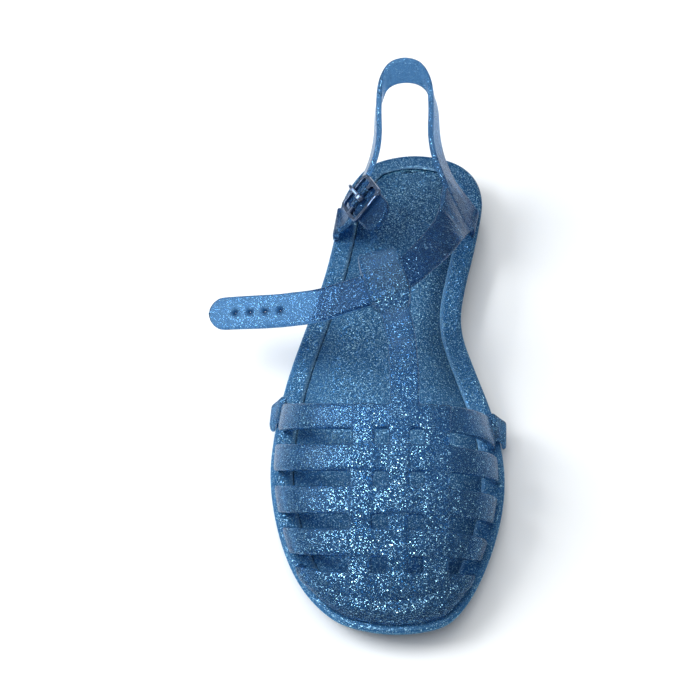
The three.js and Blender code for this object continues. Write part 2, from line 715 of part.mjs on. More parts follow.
// Rows of the vamp: the two edges of each band with a bevel line inside each, then the toe
function vampRows() {
  const blend = (a, b, t) => Object.fromEntries(
    Object.keys(a).map((key) => [key, THREE.MathUtils.lerp(a[key], b[key], t)]));
  const rows = [];
  for (let k = 0; k + 1 < BAND_EDGES.length; k += 2) {
    const rear = BAND_EDGES[k];
    const front = BAND_EDGES[k + 1];
    const run = (front.crown - rear.crown) * LENGTH;
    const bevel = BEVEL / Math.hypot(run, (front.rise - rear.rise) * INSTEP_RISE);
    [0, bevel, 1 - bevel, 1].forEach((t, line) => rows.push({
      edge: blend(rear, front, t),
      band: k / 2,
      zone: line === 1 || line === 2 ? 'band' : 'edge',
    }));
  }
  return rows;
}

// Points around the toe end, where the cap comes down on the sole
function toeLine(columns) {
  return columns.map((c) => {
    const start = sampleAlong(c.side, TOE_ROW_START * LENGTH);
    const sample = THREE.MathUtils.lerp(start, sampleAcross(c.across), c.part);
    const foot = onLoop(sample, VAMP_INSET);
    return spot(foot.across, foot.along, rimHeight(foot.along) + CLEARANCE);
  });
}

// Whether the long strip lies over the band where they cross
function stripOver(strip, band) {
  return (strip + band) % 2 === 0;
}

// How far the surface stands out at a line of the grid: the weave goes over and under
function weaveRelief(c, row) {
  if (row.zone === 'toe') return 0;
  if (c.zone === 'side') return row.zone === 'band' && c.part > 0 ? RELIEF : 0;
  const over = stripOver(c.strip, row.band);
  if (c.zone === 'strip') return over || row.zone === 'band' ? RELIEF : 0;
  return !over && row.zone === 'band' ? RELIEF : 0;
}

// Outer points of the vamp's grid, row by row, and their outward directions
function vampGrid(columns, rows) {
  const points = rows.map(({ edge }) => columns.map((c) => (
    vampPoint(c.side, edge, c.part * turnAt(c.side, edge, c.across)))));
  const toe = toeLine(columns);
  const last = points[points.length - 1];
  points.push(toe.map((p, i) => {
    const lift = TOE_BULGE * columns[i].part;
    return p.clone().lerp(last[i], 0.5).add(new THREE.Vector3(0, -lift, lift));
  }));
  points.push(toe);
  const normals = points.map((line, r) => line.map((p, i) => {
    const across = line[Math.min(i + 1, line.length - 1)].clone().sub(line[Math.max(i - 1, 0)]);
    const along = points[Math.min(r + 1, points.length - 1)][i].clone()
      .sub(points[Math.max(r - 1, 0)][i]);
    const normal = along.cross(across);
    if (columns[i].part === 0 || r === points.length - 1) normal.z = 0;
    return normal.normalize();
  }));
  return { points, normals };
}

// The vamp's wall as a grid of cells, left open between the bands beside the strips
function vampWall() {
  const columns = vampColumns();
  const rows = vampRows();
  const { points, normals } = vampGrid(columns, rows);
  rows.push({ zone: 'toe' }, { zone: 'toe' });
  const outer = points.map((line, r) => line.map((p, i) => (
    p.clone().addScaledVector(normals[r][i], weaveRelief(columns[i], rows[r])))));
  const inner = points.map((line, r) => line.map((p, i) => (
    p.clone().addScaledVector(normals[r][i], -WALL))));
  const isHole = (r, i) => {
    const gap = rows[r].zone === 'edge' && rows[r + 1].zone === 'edge'
      && rows[r].band !== rows[r + 1].band;
    const onStrip = columns[i].strip !== undefined && columns[i].strip === columns[i + 1].strip;
    return gap && !onStrip;
  };
  return wallOf(outer, inner, isHole);
}

// Closed wall between an outer and an inner grid of points, without the cells that are holes
function wallOf(outer, inner, isHole) {
  const high = outer.length;
  const wide = outer[0].length;
  const solid = (r, i) => (
    r >= 0 && i >= 0 && r < high - 1 && i < wide - 1 && !isHole(r, i));
  const number = new Map();
  const points = [];
  const use = (skin, r, i) => {
    const key = `${skin === outer ? 'o' : 'i'}${r},${i}`;
    if (!number.has(key)) {
      number.set(key, points.length);
      points.push(skin[r][i]);
    }
    return number.get(key);
  };
  const triangles = [];
  const quad = (a, b, c, d) => triangles.push([a, b, c], [a, c, d]);
  const rimFace = (a, b) => quad(use(outer, ...a), use(outer, ...b), use(inner, ...b), use(inner, ...a));
  for (let r = 0; r < high - 1; r += 1) {
    for (let i = 0; i < wide - 1; i += 1) {
      if (!solid(r, i)) continue;
      const corners = [[r, i], [r, i + 1], [r + 1, i + 1], [r + 1, i]];
      quad(...corners.map((c) => use(outer, ...c)));
      quad(...corners.map((c) => use(inner, ...c)).reverse());
      if (!solid(r - 1, i)) rimFace(corners[1], corners[0]);
      if (!solid(r, i + 1)) rimFace(corners[2], corners[1]);
      if (!solid(r + 1, i)) rimFace(corners[3], corners[2]);
      if (!solid(r, i - 1)) rimFace(corners[0], corners[3]);
    }
  }
  return solidOf(points, triangles);
}

// Rows of the T-bar's centre line
function tBarRows() {
  return T_BAR.map(({ across, at, rise }) => (
    { centre: spot(across * BALL_WIDTH, at * LENGTH, rise * INSTEP_RISE) }));
}

// T-bar with its thick head, which the ankle strap runs through
function tBar() {
  const rows = tBarRows();
  const end = rows[rows.length - 1].centre;
  const before = rows[rows.length - 2].centre;
  const run = end.clone().sub(before).normalize();
  const wide = new THREE.Vector3(0, 0, 1).cross(run).negate().normalize();
  const bar = strap(rows.map((row) => ({ ...row, wide, width: T_BAR_WIDTH, thick: WALL })));
  const middle = before.clone().lerp(end, 0.5);
  const thick = WALL + 2 * CLEARANCE + 2 * HEAD_WALL;
  const head = strap(HEAD.map((row) => ({
    centre: middle.clone().addScaledVector(run, row.along * HEAD_LENGTH),
    wide,
    width: row.wide * HEAD_WIDTH,
    thick: row.thick * thick,
  })), 1);
  return bar.add(head);
}

// The vamp with its wraps and T-bar as one moulding, opened for the ankle strap
function vamp() {
  const body = WRAPS.reduce((sum, wrap) => sum.add(wrapBlock(wrap)), vampWall());
  return body.add(tBar()).subtract(strap(ankleRows(CLEARANCE)));
}

// Buckle's frame with the bar across its middle
function buckleFrame() {
  const outline = (across, along, corner) => {
    const shape = new THREE.Shape();
    const a = across / 2;
    const b = along / 2;
    shape.moveTo(a - corner, -b);
    shape.absarc(a - corner, corner - b, corner, -Math.PI / 2, 0);
    shape.absarc(a - corner, b - corner, corner, 0, Math.PI / 2);
    shape.absarc(corner - a, b - corner, corner, Math.PI / 2, Math.PI);
    shape.absarc(corner - a, corner - b, corner, Math.PI, Math.PI * 1.5);
    return shape;
  };
  const shape = outline(FRAME_ACROSS, FRAME_ALONG, FRAME_CORNER);
  shape.holes.push(outline(FRAME_ACROSS - 2 * FRAME_STOCK, FRAME_ALONG - 2 * FRAME_STOCK,
    FRAME_CORNER - FRAME_STOCK));
  const ring = new THREE.ExtrudeGeometry(shape, {
    depth: FRAME_STOCK, bevelEnabled: false, curveSegments: CORNER_STEPS,
  });
  const body = solidFrom(ring, seat.matrix(0, 0, CLEARANCE));
  return body.add(rod(seat.at(0, 0, BAR_LIFT), seat.wide, BAR_RADIUS, FRAME_ACROSS - FRAME_STOCK));
}

// Prong: an eye around the bar and a pin that lies over the frame's rear side
function buckleProng() {
  const bore = BAR_RADIUS + CLEARANCE;
  const rim = bore + 2 * PRONG_RADIUS;
  const eye = rod(seat.at(0, 0, BAR_LIFT), seat.wide, rim, PRONG_EYE_WIDTH);
  const hole = rod(seat.at(0, 0, BAR_LIFT), seat.wide, bore, 2 * PRONG_EYE_WIDTH);
  const rest = CLEARANCE + FRAME_STOCK + CLEARANCE + PRONG_RADIUS;
  const side = FRAME_ALONG / 2;
  const root = seat.at(0, -bore - PRONG_RADIUS, BAR_LIFT + PRONG_RADIUS / 2);
  const over = seat.at(0, -side + FRAME_STOCK + PRONG_RADIUS, rest);
  const beyond = seat.at(0, -side - PRONG_RADIUS, rest);
  const tip = seat.at(0, -side - PRONG_OVERHANG, rest - PRONG_RADIUS);
  const row = (centre, radius) => (
    { centre, wide: seat.wide, width: 2 * radius, thick: 2 * radius });
  const pin = strap([
    row(root, PRONG_RADIUS), row(over, PRONG_RADIUS), row(beyond, PRONG_RADIUS), row(tip, PRONG_TIP),
  ], TAB_STEPS);
  return eye.add(pin).subtract(hole);
}

// Mesh of a solid, named and coloured
function meshOf(name, solid, look) {
  const { vertProperties, triVerts } = solid.getMesh();
  const geometry = new THREE.BufferGeometry();
  geometry.setAttribute('position', new THREE.BufferAttribute(vertProperties, 3));
  geometry.setIndex(new THREE.BufferAttribute(triVerts, 1));
  geometry.computeVertexNormals();
  const mesh = new THREE.Mesh(geometry, new THREE.MeshStandardMaterial(look));
  mesh.name = name;
  return mesh;
}

const JELLY = { color: 0x3f74ad, roughness: 0.22, metalness: 0 };
const DEEP_JELLY = { color: 0x2d5580, roughness: 0.3, metalness: 0 };
const PAD = { color: 0x2a4f78, roughness: 0.45, metalness: 0 };
const METAL = { color: 0xb4bac2, roughness: 0.25, metalness: 1 };

const sandal = new THREE.Group();
sandal.add(
  meshOf('outsole', outsole(), DEEP_JELLY),
  meshOf('footbed', footbed(), PAD),
  meshOf('vamp', vamp(), JELLY),
  meshOf('heel_strap', heelStrap(), JELLY),
  meshOf('buckle_frame', buckleFrame(), METAL),
  meshOf('buckle_prong', buckleProng(), METAL),
);

export default sandal;
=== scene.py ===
# %% [markdown]
# # A jelly sandal
#
# The object is the right shoe of a pair of jelly sandals: soft clear plastic, blue, full of
# silver glitter, all of it moulded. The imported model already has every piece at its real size
# and place. It is made of flat facets, so the work here is to give each moulding the smooth
# skin and the rounded edges that it has when it leaves the mould, and then the plastic itself.

# %% The frame and its box
import json
import math

import bmesh
import bpy
import numpy as np
from mathutils import Matrix, Vector

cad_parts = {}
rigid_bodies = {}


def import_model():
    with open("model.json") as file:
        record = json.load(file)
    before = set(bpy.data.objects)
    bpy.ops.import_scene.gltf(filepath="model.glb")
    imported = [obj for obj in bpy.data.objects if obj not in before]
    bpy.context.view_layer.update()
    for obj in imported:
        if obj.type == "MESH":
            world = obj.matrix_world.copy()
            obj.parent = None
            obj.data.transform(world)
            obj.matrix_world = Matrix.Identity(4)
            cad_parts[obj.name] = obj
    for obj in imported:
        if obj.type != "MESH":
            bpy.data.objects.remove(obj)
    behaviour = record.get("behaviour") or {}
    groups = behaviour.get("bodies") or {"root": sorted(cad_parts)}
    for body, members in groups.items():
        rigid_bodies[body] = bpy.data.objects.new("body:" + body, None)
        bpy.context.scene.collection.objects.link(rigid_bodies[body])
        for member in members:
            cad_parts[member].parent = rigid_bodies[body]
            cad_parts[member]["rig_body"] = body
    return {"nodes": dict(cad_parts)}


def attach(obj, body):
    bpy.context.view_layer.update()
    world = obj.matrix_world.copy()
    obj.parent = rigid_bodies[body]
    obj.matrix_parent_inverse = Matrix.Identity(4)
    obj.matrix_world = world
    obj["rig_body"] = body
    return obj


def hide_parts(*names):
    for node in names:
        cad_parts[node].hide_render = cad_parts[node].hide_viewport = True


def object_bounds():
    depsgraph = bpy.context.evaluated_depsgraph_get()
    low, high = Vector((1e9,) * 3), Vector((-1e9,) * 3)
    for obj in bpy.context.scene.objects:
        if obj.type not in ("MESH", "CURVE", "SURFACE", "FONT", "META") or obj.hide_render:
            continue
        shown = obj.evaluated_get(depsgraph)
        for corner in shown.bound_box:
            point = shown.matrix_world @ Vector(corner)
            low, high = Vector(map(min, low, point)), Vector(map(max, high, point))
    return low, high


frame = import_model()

CAD_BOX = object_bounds()
MM = 0.001
print("box of the frame in mm:", [[round(v / MM, 1) for v in corner] for corner in CAD_BOX])

# %% [markdown]
# ## Camera
#
# The photo looks down at the shoe at about 50 degrees, from in front of the toe and half a
# metre up. The place of the camera is given from the middle of the heel, and it turns about
# its own upright axis to face the shoe, so the shoe keeps the lean that it has in the photo.

# %% Camera
SEEN_FROM = Vector((49.0, -488.9, 501.6)) * MM
LOOKS_DOWN = math.radians(50.5)
TURNED_LEFT = math.radians(6.2)
TURNED_UP = math.radians(0.2)
LENS = 79.0


def photo_camera():
    """The camera, at the photo's place and tilt, turned to the one shoe."""
    data = bpy.data.cameras.new("photo_camera")
    data.lens = LENS
    camera = bpy.data.objects.new("photo_camera", data)
    tilt = Matrix.Rotation(math.radians(90) - LOOKS_DOWN, 4, "X")
    turn = Matrix.Rotation(TURNED_LEFT, 4, "Y") @ Matrix.Rotation(TURNED_UP, 4, "X")
    camera.matrix_world = Matrix.Translation(SEEN_FROM) @ tilt @ turn
    bpy.context.scene.collection.objects.link(camera)
    bpy.context.scene.camera = camera
    return camera


camera = photo_camera()
print("camera at", [round(v, 3) for v in camera.location])

# %% [markdown]
# ## Floor and light
#
# The photo is a cut-out on white with very soft light, so a pale floor, a bright even sky and
# soft lamps stand for the studio: a large one overhead, one at the left like a window, and a
# faint one behind the heel. A lamp's size decides how sharp its reflection is on the gloss:
# the larger it is, the softer the shine on each strap.

# %% Floor and light
FLOOR_HALF = 3.0
FLOOR_COLOUR = (0.93, 0.92, 0.9)
FLOOR_ROUGHNESS = 0.7
SKY_COLOUR = (0.95, 0.97, 1.0)
SKY_STRENGTH = 0.42
LAMP_COLOUR = (0.9, 0.95, 1.0)
SHOE_MIDDLE = Vector((0.0, -90.0, 20.0)) * MM
# Each lamp: its name, its place and its size in metres, and its power in watts.
LAMPS = [
    ("ceiling_lamp", (-0.25, -0.05, 1.7), 2.2, 17.0),
    ("window_lamp", (-0.9, 0.0, 0.8), 0.7, 13.5),
    ("rear_lamp", (-0.15, 1.0, 0.95), 0.3, 2.5),
]


def floor():
    """A wide pale floor under the sole."""
    mesh = bpy.data.meshes.new("floor")
    corners = [(-1, -1), (1, -1), (1, 1), (-1, 1)]
    points = [(x * FLOOR_HALF, y * FLOOR_HALF, CAD_BOX[0][2]) for x, y in corners]
    mesh.from_pydata(points, [], [(0, 1, 2, 3)])
    obj = bpy.data.objects.new("floor", mesh)
    bpy.context.scene.collection.objects.link(obj)
    material = bpy.data.materials.new("pale_floor")
    material.use_nodes = True
    shader = material.node_tree.nodes["Principled BSDF"]
    shader.inputs["Base Color"].default_value = (*FLOOR_COLOUR, 1)
    shader.inputs["Roughness"].default_value = FLOOR_ROUGHNESS
    mesh.materials.append(material)
    return obj


def lamp(name, place, size, power):
    """A square soft lamp that faces the shoe."""
    data = bpy.data.lights.new(name, "AREA")
    data.size = size
    data.energy = power
    data.color = LAMP_COLOUR
    obj = bpy.data.objects.new(name, data)
    obj.location = Vector(place)
    obj.rotation_euler = (SHOE_MIDDLE - obj.location).to_track_quat("-Z", "Y").to_euler()
    bpy.context.scene.collection.objects.link(obj)
    return obj


floor()
for name, place, size, power in LAMPS:
    lamp(name, place, size, power)
sky = bpy.data.worlds.new("studio")
sky.use_nodes = True
sky.node_tree.nodes["Background"].inputs["Color"].default_value = (*SKY_COLOUR, 1)
sky.node_tree.nodes["Background"].inputs["Strength"].default_value = SKY_STRENGTH
bpy.context.scene.world = sky
bpy.context.scene.view_settings.view_transform = "Standard"
print("floor at", CAD_BOX[0][2], "and lamps:", len(LAMPS))

# %% [markdown]
# ## From facets to a moulding
#
# A moulded piece has no facets. Three steps get there. First, triangles that share a flat
# patch are joined to squares, and every edge sharper than a limit is marked as a crease.
# Then subdivision rounds all that isn't creased, and the creased edges become smooth lines.
# Last, on the soft straps, a fine voxel remesh fuses strap to strap, and a light smoothing
# rounds each edge and fills each inner corner, as the mould does. The sole keeps its crisp
# lines, so it stops after the second step.

# %% Helpers for mouldings
WELD = 0.002 * MM
PATCH_BEND = math.radians(25)
PATCH_SKEW = math.radians(60)
SOFTENING = 0.5


def moulding(node, name, sharp, levels, voxel=0.0, rounds=0):
    """A smooth copy of a CAD node: subdivided, and fused and rounded where voxel is given."""
    source = frame["nodes"][node]
    mesh = source.data.copy()
    mesh.materials.clear()
    body = bmesh.new()
    body.from_mesh(mesh)
    bmesh.ops.remove_doubles(body, verts=body.verts, dist=WELD)
    bmesh.ops.join_triangles(
        body,
        faces=body.faces,
        angle_face_threshold=PATCH_BEND,
        angle_shape_threshold=PATCH_SKEW,
    )
    crease = body.edges.layers.float.new("crease_edge")
    for edge in body.edges:
        if len(edge.link_faces) != 2 or edge.calc_face_angle(0) > math.radians(sharp):
            edge[crease] = 1.0
    body.to_mesh(mesh)
    body.free()
    piece = bpy.data.objects.new(name, mesh)
    bpy.context.scene.collection.objects.link(piece)
    finer = piece.modifiers.new("finer", "SUBSURF")
    finer.levels = finer.render_levels = levels
    if voxel:
        fused = piece.modifiers.new("fused", "REMESH")
        fused.mode = "VOXEL"
        fused.voxel_size = voxel
        soft = piece.modifiers.new("soft", "SMOOTH")
        soft.factor = SOFTENING
        soft.iterations = rounds
    return finished(piece, node)


def finished(piece, node):
    """Applies a piece's modifiers, shades it smooth and lets it stand for its CAD node."""
    bpy.context.view_layer.update()
    shown = piece.evaluated_get(bpy.context.evaluated_depsgraph_get())
    mesh = bpy.data.meshes.new_from_object(shown)
    piece.modifiers.clear()
    piece.data = mesh
    mesh.shade_smooth()
    body = frame["nodes"][node]["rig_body"]
    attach(piece, body)
    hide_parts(node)
    print(piece.name, "faces:", len(mesh.polygons))
    return piece


# %% [markdown]
# ## The plastic
#
# Jelly plastic is clear PVC with a blue dye and glitter in it. Three things make its look:
# light goes in and comes out again, so a thin strap over white is bright and a thick sole is
# deep; the skin is glossy; and the flakes lie at all angles under that gloss, so only some
# of them catch the light. Flakes could be thousands of tiny plates, but a pattern in the
# material looks the same at this distance and adds no faces. So each flake is one cell of a
# Voronoi pattern. Its random colour decides whether it is a flake, how bright it is and which
# way it leans. Edges and inner corners are found by how pointed the mesh is there.
# Outer edges get a painted highlight and inner corners a painted shade.

# %% Node helpers
def new_material(name):
    """An empty material, its node tree and its shader."""
    material = bpy.data.materials.new(name)
    material.use_nodes = True
    tree = material.node_tree
    return material, tree, tree.nodes["Principled BSDF"]


def add(tree, kind, inputs=None, **settings):
    """A node with settings, whose inputs are values or other nodes' outputs."""
    node = tree.nodes.new(kind)
    for key, value in settings.items():
        setattr(node, key, value)
    for key, value in (inputs or {}).items():
        if isinstance(value, bpy.types.NodeSocket):
            tree.links.new(value, node.inputs[key])
        else:
            node.inputs[key].default_value = value
    return node


def ranged(tree, value, span, low, high):
    """A value, moved from one span to another."""
    return add(tree, "ShaderNodeMapRange", {
        "Value": value, "From Min": span[0], "From Max": span[1], "To Min": low, "To Max": high,
    }).outputs[0]


def math_node(tree, operation, first, second=0.0):
    """The result of one sum on two values."""
    return add(tree, "ShaderNodeMath", {0: first, 1: second}, operation=operation).outputs[0]


def mix_colour(tree, share, first, second):
    """One colour blended into another."""
    node = add(tree, "ShaderNodeMix", data_type="RGBA")
    for key, value in ((0, share), (6, first), (7, second)):
        if isinstance(value, bpy.types.NodeSocket):
            tree.links.new(value, node.inputs[key])
        else:
            node.inputs[key].default_value = value
    return node.outputs[2]


# %% Skin
PEEL_SIZE = 8.0 * MM
PEEL_DEPTH = 0.2 * MM
PEEL_STRENGTH = 0.35
TREAD_LINE = 1.8 * MM
TREAD_LINE_DEPTH = 0.35 * MM
TREAD_STRENGTH = 0.8
FACES_DOWN = -0.8
# Blender's wave pattern has a wave this long where its scale is 1.
WAVE_PERIOD = math.pi / 10


def skin(tree, place, shape, tread):
    """The faint waves of a moulded skin, and fine tread lines where it faces down."""
    height = add(tree, "ShaderNodeTexNoise", {
        "Vector": place, "Scale": 1 / PEEL_SIZE, "Detail": 2.0,
    }).outputs["Fac"]
    normal = add(tree, "ShaderNodeBump", {
        "Height": height, "Strength": PEEL_STRENGTH, "Distance": PEEL_DEPTH,
    }).outputs["Normal"]
    if not tread:
        return normal
    lines = add(tree, "ShaderNodeTexWave", {
        "Vector": place, "Scale": WAVE_PERIOD / TREAD_LINE,
    }, bands_direction="Y", wave_profile="SIN").outputs["Fac"]
    down = add(tree, "ShaderNodeSeparateXYZ", {0: shape.outputs["Normal"]}).outputs["Z"]
    under = math_node(tree, "LESS_THAN", down, FACES_DOWN)
    return add(tree, "ShaderNodeBump", {
        "Height": math_node(tree, "MULTIPLY", lines, under), "Strength": TREAD_STRENGTH,
        "Distance": TREAD_LINE_DEPTH, "Normal": normal,
    }).outputs["Normal"]


# %% Glitter
FLAKE_REACH = 0.42
FLAKE_LEAN = 0.7
FLAKE_DARK = (0.04, 0.15, 0.34)
FLAKE_BRIGHT = (0.5, 0.85, 1.0)
COLOUR_TO_LEAN = (-0.5, -0.5, -0.5)


def flakes_of(tree, place, size, share):
    """Mask, brightness and lean of flakes of one size; share is how many cells hold one."""
    cells = add(tree, "ShaderNodeTexVoronoi", {
        "Vector": place, "Scale": 1 / size, "Randomness": 1.0,
    }, voronoi_dimensions="3D", feature="F1")
    parts = add(tree, "ShaderNodeSeparateColor", {"Color": cells.outputs["Color"]})
    chosen = math_node(tree, "LESS_THAN", parts.outputs[0], share)
    inside = math_node(tree, "LESS_THAN", cells.outputs["Distance"], FLAKE_REACH)
    lean = add(tree, "ShaderNodeVectorMath", {
        0: cells.outputs["Color"], 1: COLOUR_TO_LEAN,
    }, operation="ADD").outputs[0]
    return math_node(tree, "MULTIPLY", chosen, inside), parts.outputs[1], lean


def glitter(tree, place, flakes, colour, metal, tilt):
    """Lays flakes of each size over the plastic's colour, metal and tilt."""
    for size, share, strength in flakes:
        mask, shine, lean = flakes_of(tree, place, size, share)
        light = mix_colour(tree, shine, (*FLAKE_DARK, 1), (*FLAKE_BRIGHT, 1))
        amount = math_node(tree, "MULTIPLY", mask, strength)
        colour = mix_colour(tree, amount, colour, light)
        metal = math_node(tree, "MAXIMUM", metal, amount)
        push = add(tree, "ShaderNodeVectorMath", {0: lean}, operation="SCALE")
        tree.links.new(math_node(tree, "MULTIPLY", mask, FLAKE_LEAN), push.inputs["Scale"])
        tilt = add(tree, "ShaderNodeVectorMath", {
            0: tilt, 1: push.outputs[0],
        }, operation="ADD").outputs[0]
    tilt = add(tree, "ShaderNodeVectorMath", {0: tilt}, operation="NORMALIZE").outputs[0]
    return colour, metal, tilt


# %% Dye, painted heel shade, painted edge highlights and painted shade in hollows
CLOUD_SCALE = 45.0
CLOUD_DETAIL = 4.0
CLOUD_ROUGHNESS = 0.6
HEEL_Y = 30.0 * MM
BALL_Y = -130.0 * MM
PAINTED_HEEL_SHADE = 0.45
PAINTED_EDGE_HIGHLIGHT = (0.4, 0.7, 1.0)
EDGE_HIGHLIGHT_SPAN = (0.53, 0.58)
EDGE_SHINE = 0.45
PAINTED_SHADE_COLOUR = (0.004, 0.03, 0.1)
HOLLOW_SHADE_SPAN = (0.485, 0.42)
HOLLOW_SHADE = 0.85


def dye_and_heel_shade(tree, place, clear, deep, solid):
    """A cloudy colour; on a solid piece it is also painted darker towards the heel, as shade.
    """
    cloud_and_heel_shade = add(tree, "ShaderNodeTexNoise", {
        "Vector": place, "Scale": CLOUD_SCALE, "Detail": CLOUD_DETAIL,
        "Roughness": CLOUD_ROUGHNESS,
    }).outputs["Fac"]
    # Painted shade: a solid piece is darker towards the heel and lighter towards the ball.
    if solid:
        along = add(tree, "ShaderNodeSeparateXYZ", {0: place}).outputs["Y"]
        heel_shade_ramp = ranged(tree, along, (HEEL_Y, BALL_Y), -PAINTED_HEEL_SHADE, PAINTED_HEEL_SHADE)
        cloud_and_heel_shade = math_node(tree, "ADD", cloud_and_heel_shade, heel_shade_ramp)
    return mix_colour(tree, cloud_and_heel_shade, (*deep, 1), (*clear, 1))


def paint_edge_highlights_and_hollow_shade(tree, shape, colour, edges):
    """Paints a highlight on outer edges and shade in inner corners; the edges are also made
    partly metal so they shine.
    """
    pointed = shape.outputs["Pointiness"]
    # Painted highlight: outer edges are lightened towards pale blue.
    edge = ranged(tree, pointed, EDGE_HIGHLIGHT_SPAN, 0.0, edges)
    colour = mix_colour(tree, edge, colour, (*PAINTED_EDGE_HIGHLIGHT, 1))
    # Painted shade: inner corners and creases are darkened.
    painted_hollow_shade = ranged(tree, pointed, HOLLOW_SHADE_SPAN, 0.0, HOLLOW_SHADE)
    colour = mix_colour(tree, painted_hollow_shade, colour, (*PAINTED_SHADE_COLOUR, 1))
    return colour, math_node(tree, "MULTIPLY", edge, EDGE_SHINE)


# %% Jelly
SHINE_COLOUR = (0.35, 0.7, 1.0)
SHINE_LEVEL = 0.25
JELLY_IOR = 1.18
MILK_COLOUR = (0.4, 0.8, 1.0)
MILK_DEPTH = 4 * MM


def jelly(name, clear, deep, flakes, gloss, through, milk, edges, solid=False):
    """Dyed plastic with glitter; through is how clear it is, and milk how cloudy."""
    material, tree, shader = new_material(name)
    place = add(tree, "ShaderNodeTexCoord").outputs["Object"]
    shape = add(tree, "ShaderNodeNewGeometry")
    colour = dye_and_heel_shade(tree, place, clear, deep, solid)
    colour, metal = paint_edge_highlights_and_hollow_shade(tree, shape, colour, edges)
    tilt = skin(tree, place, shape, solid)
    colour, metal, tilt = glitter(tree, place, flakes, colour, metal, tilt)
    # Painted shade around the strap's holes: a dark colour, and no metal flakes there.
    hole = add(tree, "ShaderNodeAttribute", attribute_name="hole_shade").outputs["Fac"]
    colour = mix_colour(tree, hole, colour, (*PAINTED_SHADE_COLOUR, 1))
    metal = math_node(tree, "MULTIPLY", metal, math_node(tree, "SUBTRACT", 1.0, hole))
    tree.links.new(colour, shader.inputs["Base Color"])
    tree.links.new(metal, shader.inputs["Metallic"])
    tree.links.new(tilt, shader.inputs["Normal"])
    shader.inputs["Roughness"].default_value = gloss
    shader.inputs["IOR"].default_value = JELLY_IOR
    shader.inputs["Specular IOR Level"].default_value = SHINE_LEVEL
    shader.inputs["Specular Tint"].default_value = (*SHINE_COLOUR, 1)
    shader.inputs["Transmission Weight"].default_value = through
    shader.inputs["Subsurface Weight"].default_value = milk
    shader.inputs["Subsurface Radius"].default_value = MILK_COLOUR
    shader.inputs["Subsurface Scale"].default_value = MILK_DEPTH
    return material


# %% The four plastics
# edges is how strongly a plastic's edges are lightened as a painted highlight.
# A kind of flake is its size, the share of cells that hold one, and its strength.
VAMP_JELLY = jelly(
    "vamp_jelly", (0.075, 0.215, 0.42), (0.055, 0.175, 0.36),
    flakes=((0.34 * MM, 0.55, 0.6), (0.5 * MM, 0.14, 1.0)),
    gloss=0.25, through=0.82, milk=0.0, edges=0.8,
)
STRAP_JELLY = jelly(
    "strap_jelly", (0.075, 0.2, 0.40), (0.05, 0.155, 0.34),
    flakes=((0.34 * MM, 0.5, 0.45), (0.5 * MM, 0.12, 0.7)),
    gloss=0.25, through=0.93, milk=0.0, edges=0.9,
)
SOLE_JELLY = jelly(
    "sole_jelly", (0.03, 0.108, 0.23), (0.006, 0.045, 0.12),
    flakes=((0.32 * MM, 0.5, 0.6), (0.5 * MM, 0.2, 1.0)),
    gloss=0.3, through=0.0, milk=0.4, edges=0.25, solid=True,
)
PAD_JELLY = jelly(
    "pad_jelly", (0.034, 0.112, 0.23), (0.004, 0.03, 0.08),
    flakes=((0.32 * MM, 0.5, 0.65), (0.5 * MM, 0.24, 1.0)),
    gloss=0.4, through=0.0, milk=0.3, edges=0.0, solid=True,
)
print("materials:", [m.name for m in (VAMP_JELLY, STRAP_JELLY, SOLE_JELLY, PAD_JELLY)])

# %% [markdown]
# ## Sole and pad
#
# The sole is the thickest moulding and the darkest, with a sharp line round its side and
# grooves underneath. The pad lies in it just under the rim. A remesh would blur the line and
# the grooves, so both are only subdivided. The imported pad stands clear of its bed, and the
# real one fills it, so the pad's side is pushed out and its rounded rim is squared.

# %% Sole and pad
PAD_GAP = 0.35 * MM
PAD_CHAMFER = 0.6 * MM
LEAST_SIDE = 0.25
RIM_UP = 0.3
TOP_UP = 0.92
RIM_SPAN = 0.54


def settle_pad(piece):
    """Lets the pad's edge touch the wall of its bed, with a square corner."""
    for vertex in piece.data.vertices:
        flat = Vector((vertex.normal.x, vertex.normal.y, 0))
        if flat.length > LEAST_SIDE:
            vertex.co += flat.normalized() * PAD_GAP
            if vertex.normal.z > RIM_UP:
                vertex.co.z += PAD_CHAMFER * min(1, (TOP_UP - vertex.normal.z) / RIM_SPAN)


sole = moulding("outsole", "sole", sharp=20, levels=2)
sole.data.materials.append(SOLE_JELLY)
pad = moulding("footbed", "pad", sharp=20, levels=2)
settle_pad(pad)
pad.data.materials.append(PAD_JELLY)

# %% [markdown]
# ## Vamp and straps
#
# The vamp with its T-bar is one moulding, and the heel strap with the ankle strap is the
# other. Where bands cross they are one piece of plastic. Bevels on each band would stop at
# the crossings, so a voxel remesh fuses the bands and smoothing rounds them all at once. The
# voxel is as fine as the count of triangles lets it be.

# %% Vamp and straps
VAMP_VOXEL = 0.55 * MM
STRAP_VOXEL = 0.42 * MM
ROUNDS = 7

vamp = moulding("vamp", "woven_vamp", sharp=32, levels=2, voxel=VAMP_VOXEL, rounds=ROUNDS)
vamp.data.materials.append(VAMP_JELLY)
straps = moulding(
    "heel_strap", "heel_and_ankle_strap", sharp=32, levels=2, voxel=STRAP_VOXEL, rounds=ROUNDS
)
straps.data.materials.append(STRAP_JELLY)

# %% [markdown]
# ## Creases and hollows
#
# Soft plastic keeps the marks of how it is bent and stored. The ankle strap dips where it
# turns over the instep, the T-bar where it flexes, and the pad has shallow beds under heel
# and ball. Each is a soft trough along a short path, given in the shoe's own millimetres. It
# moves only the skin that faces a given way, so the wall behind it keeps its place.

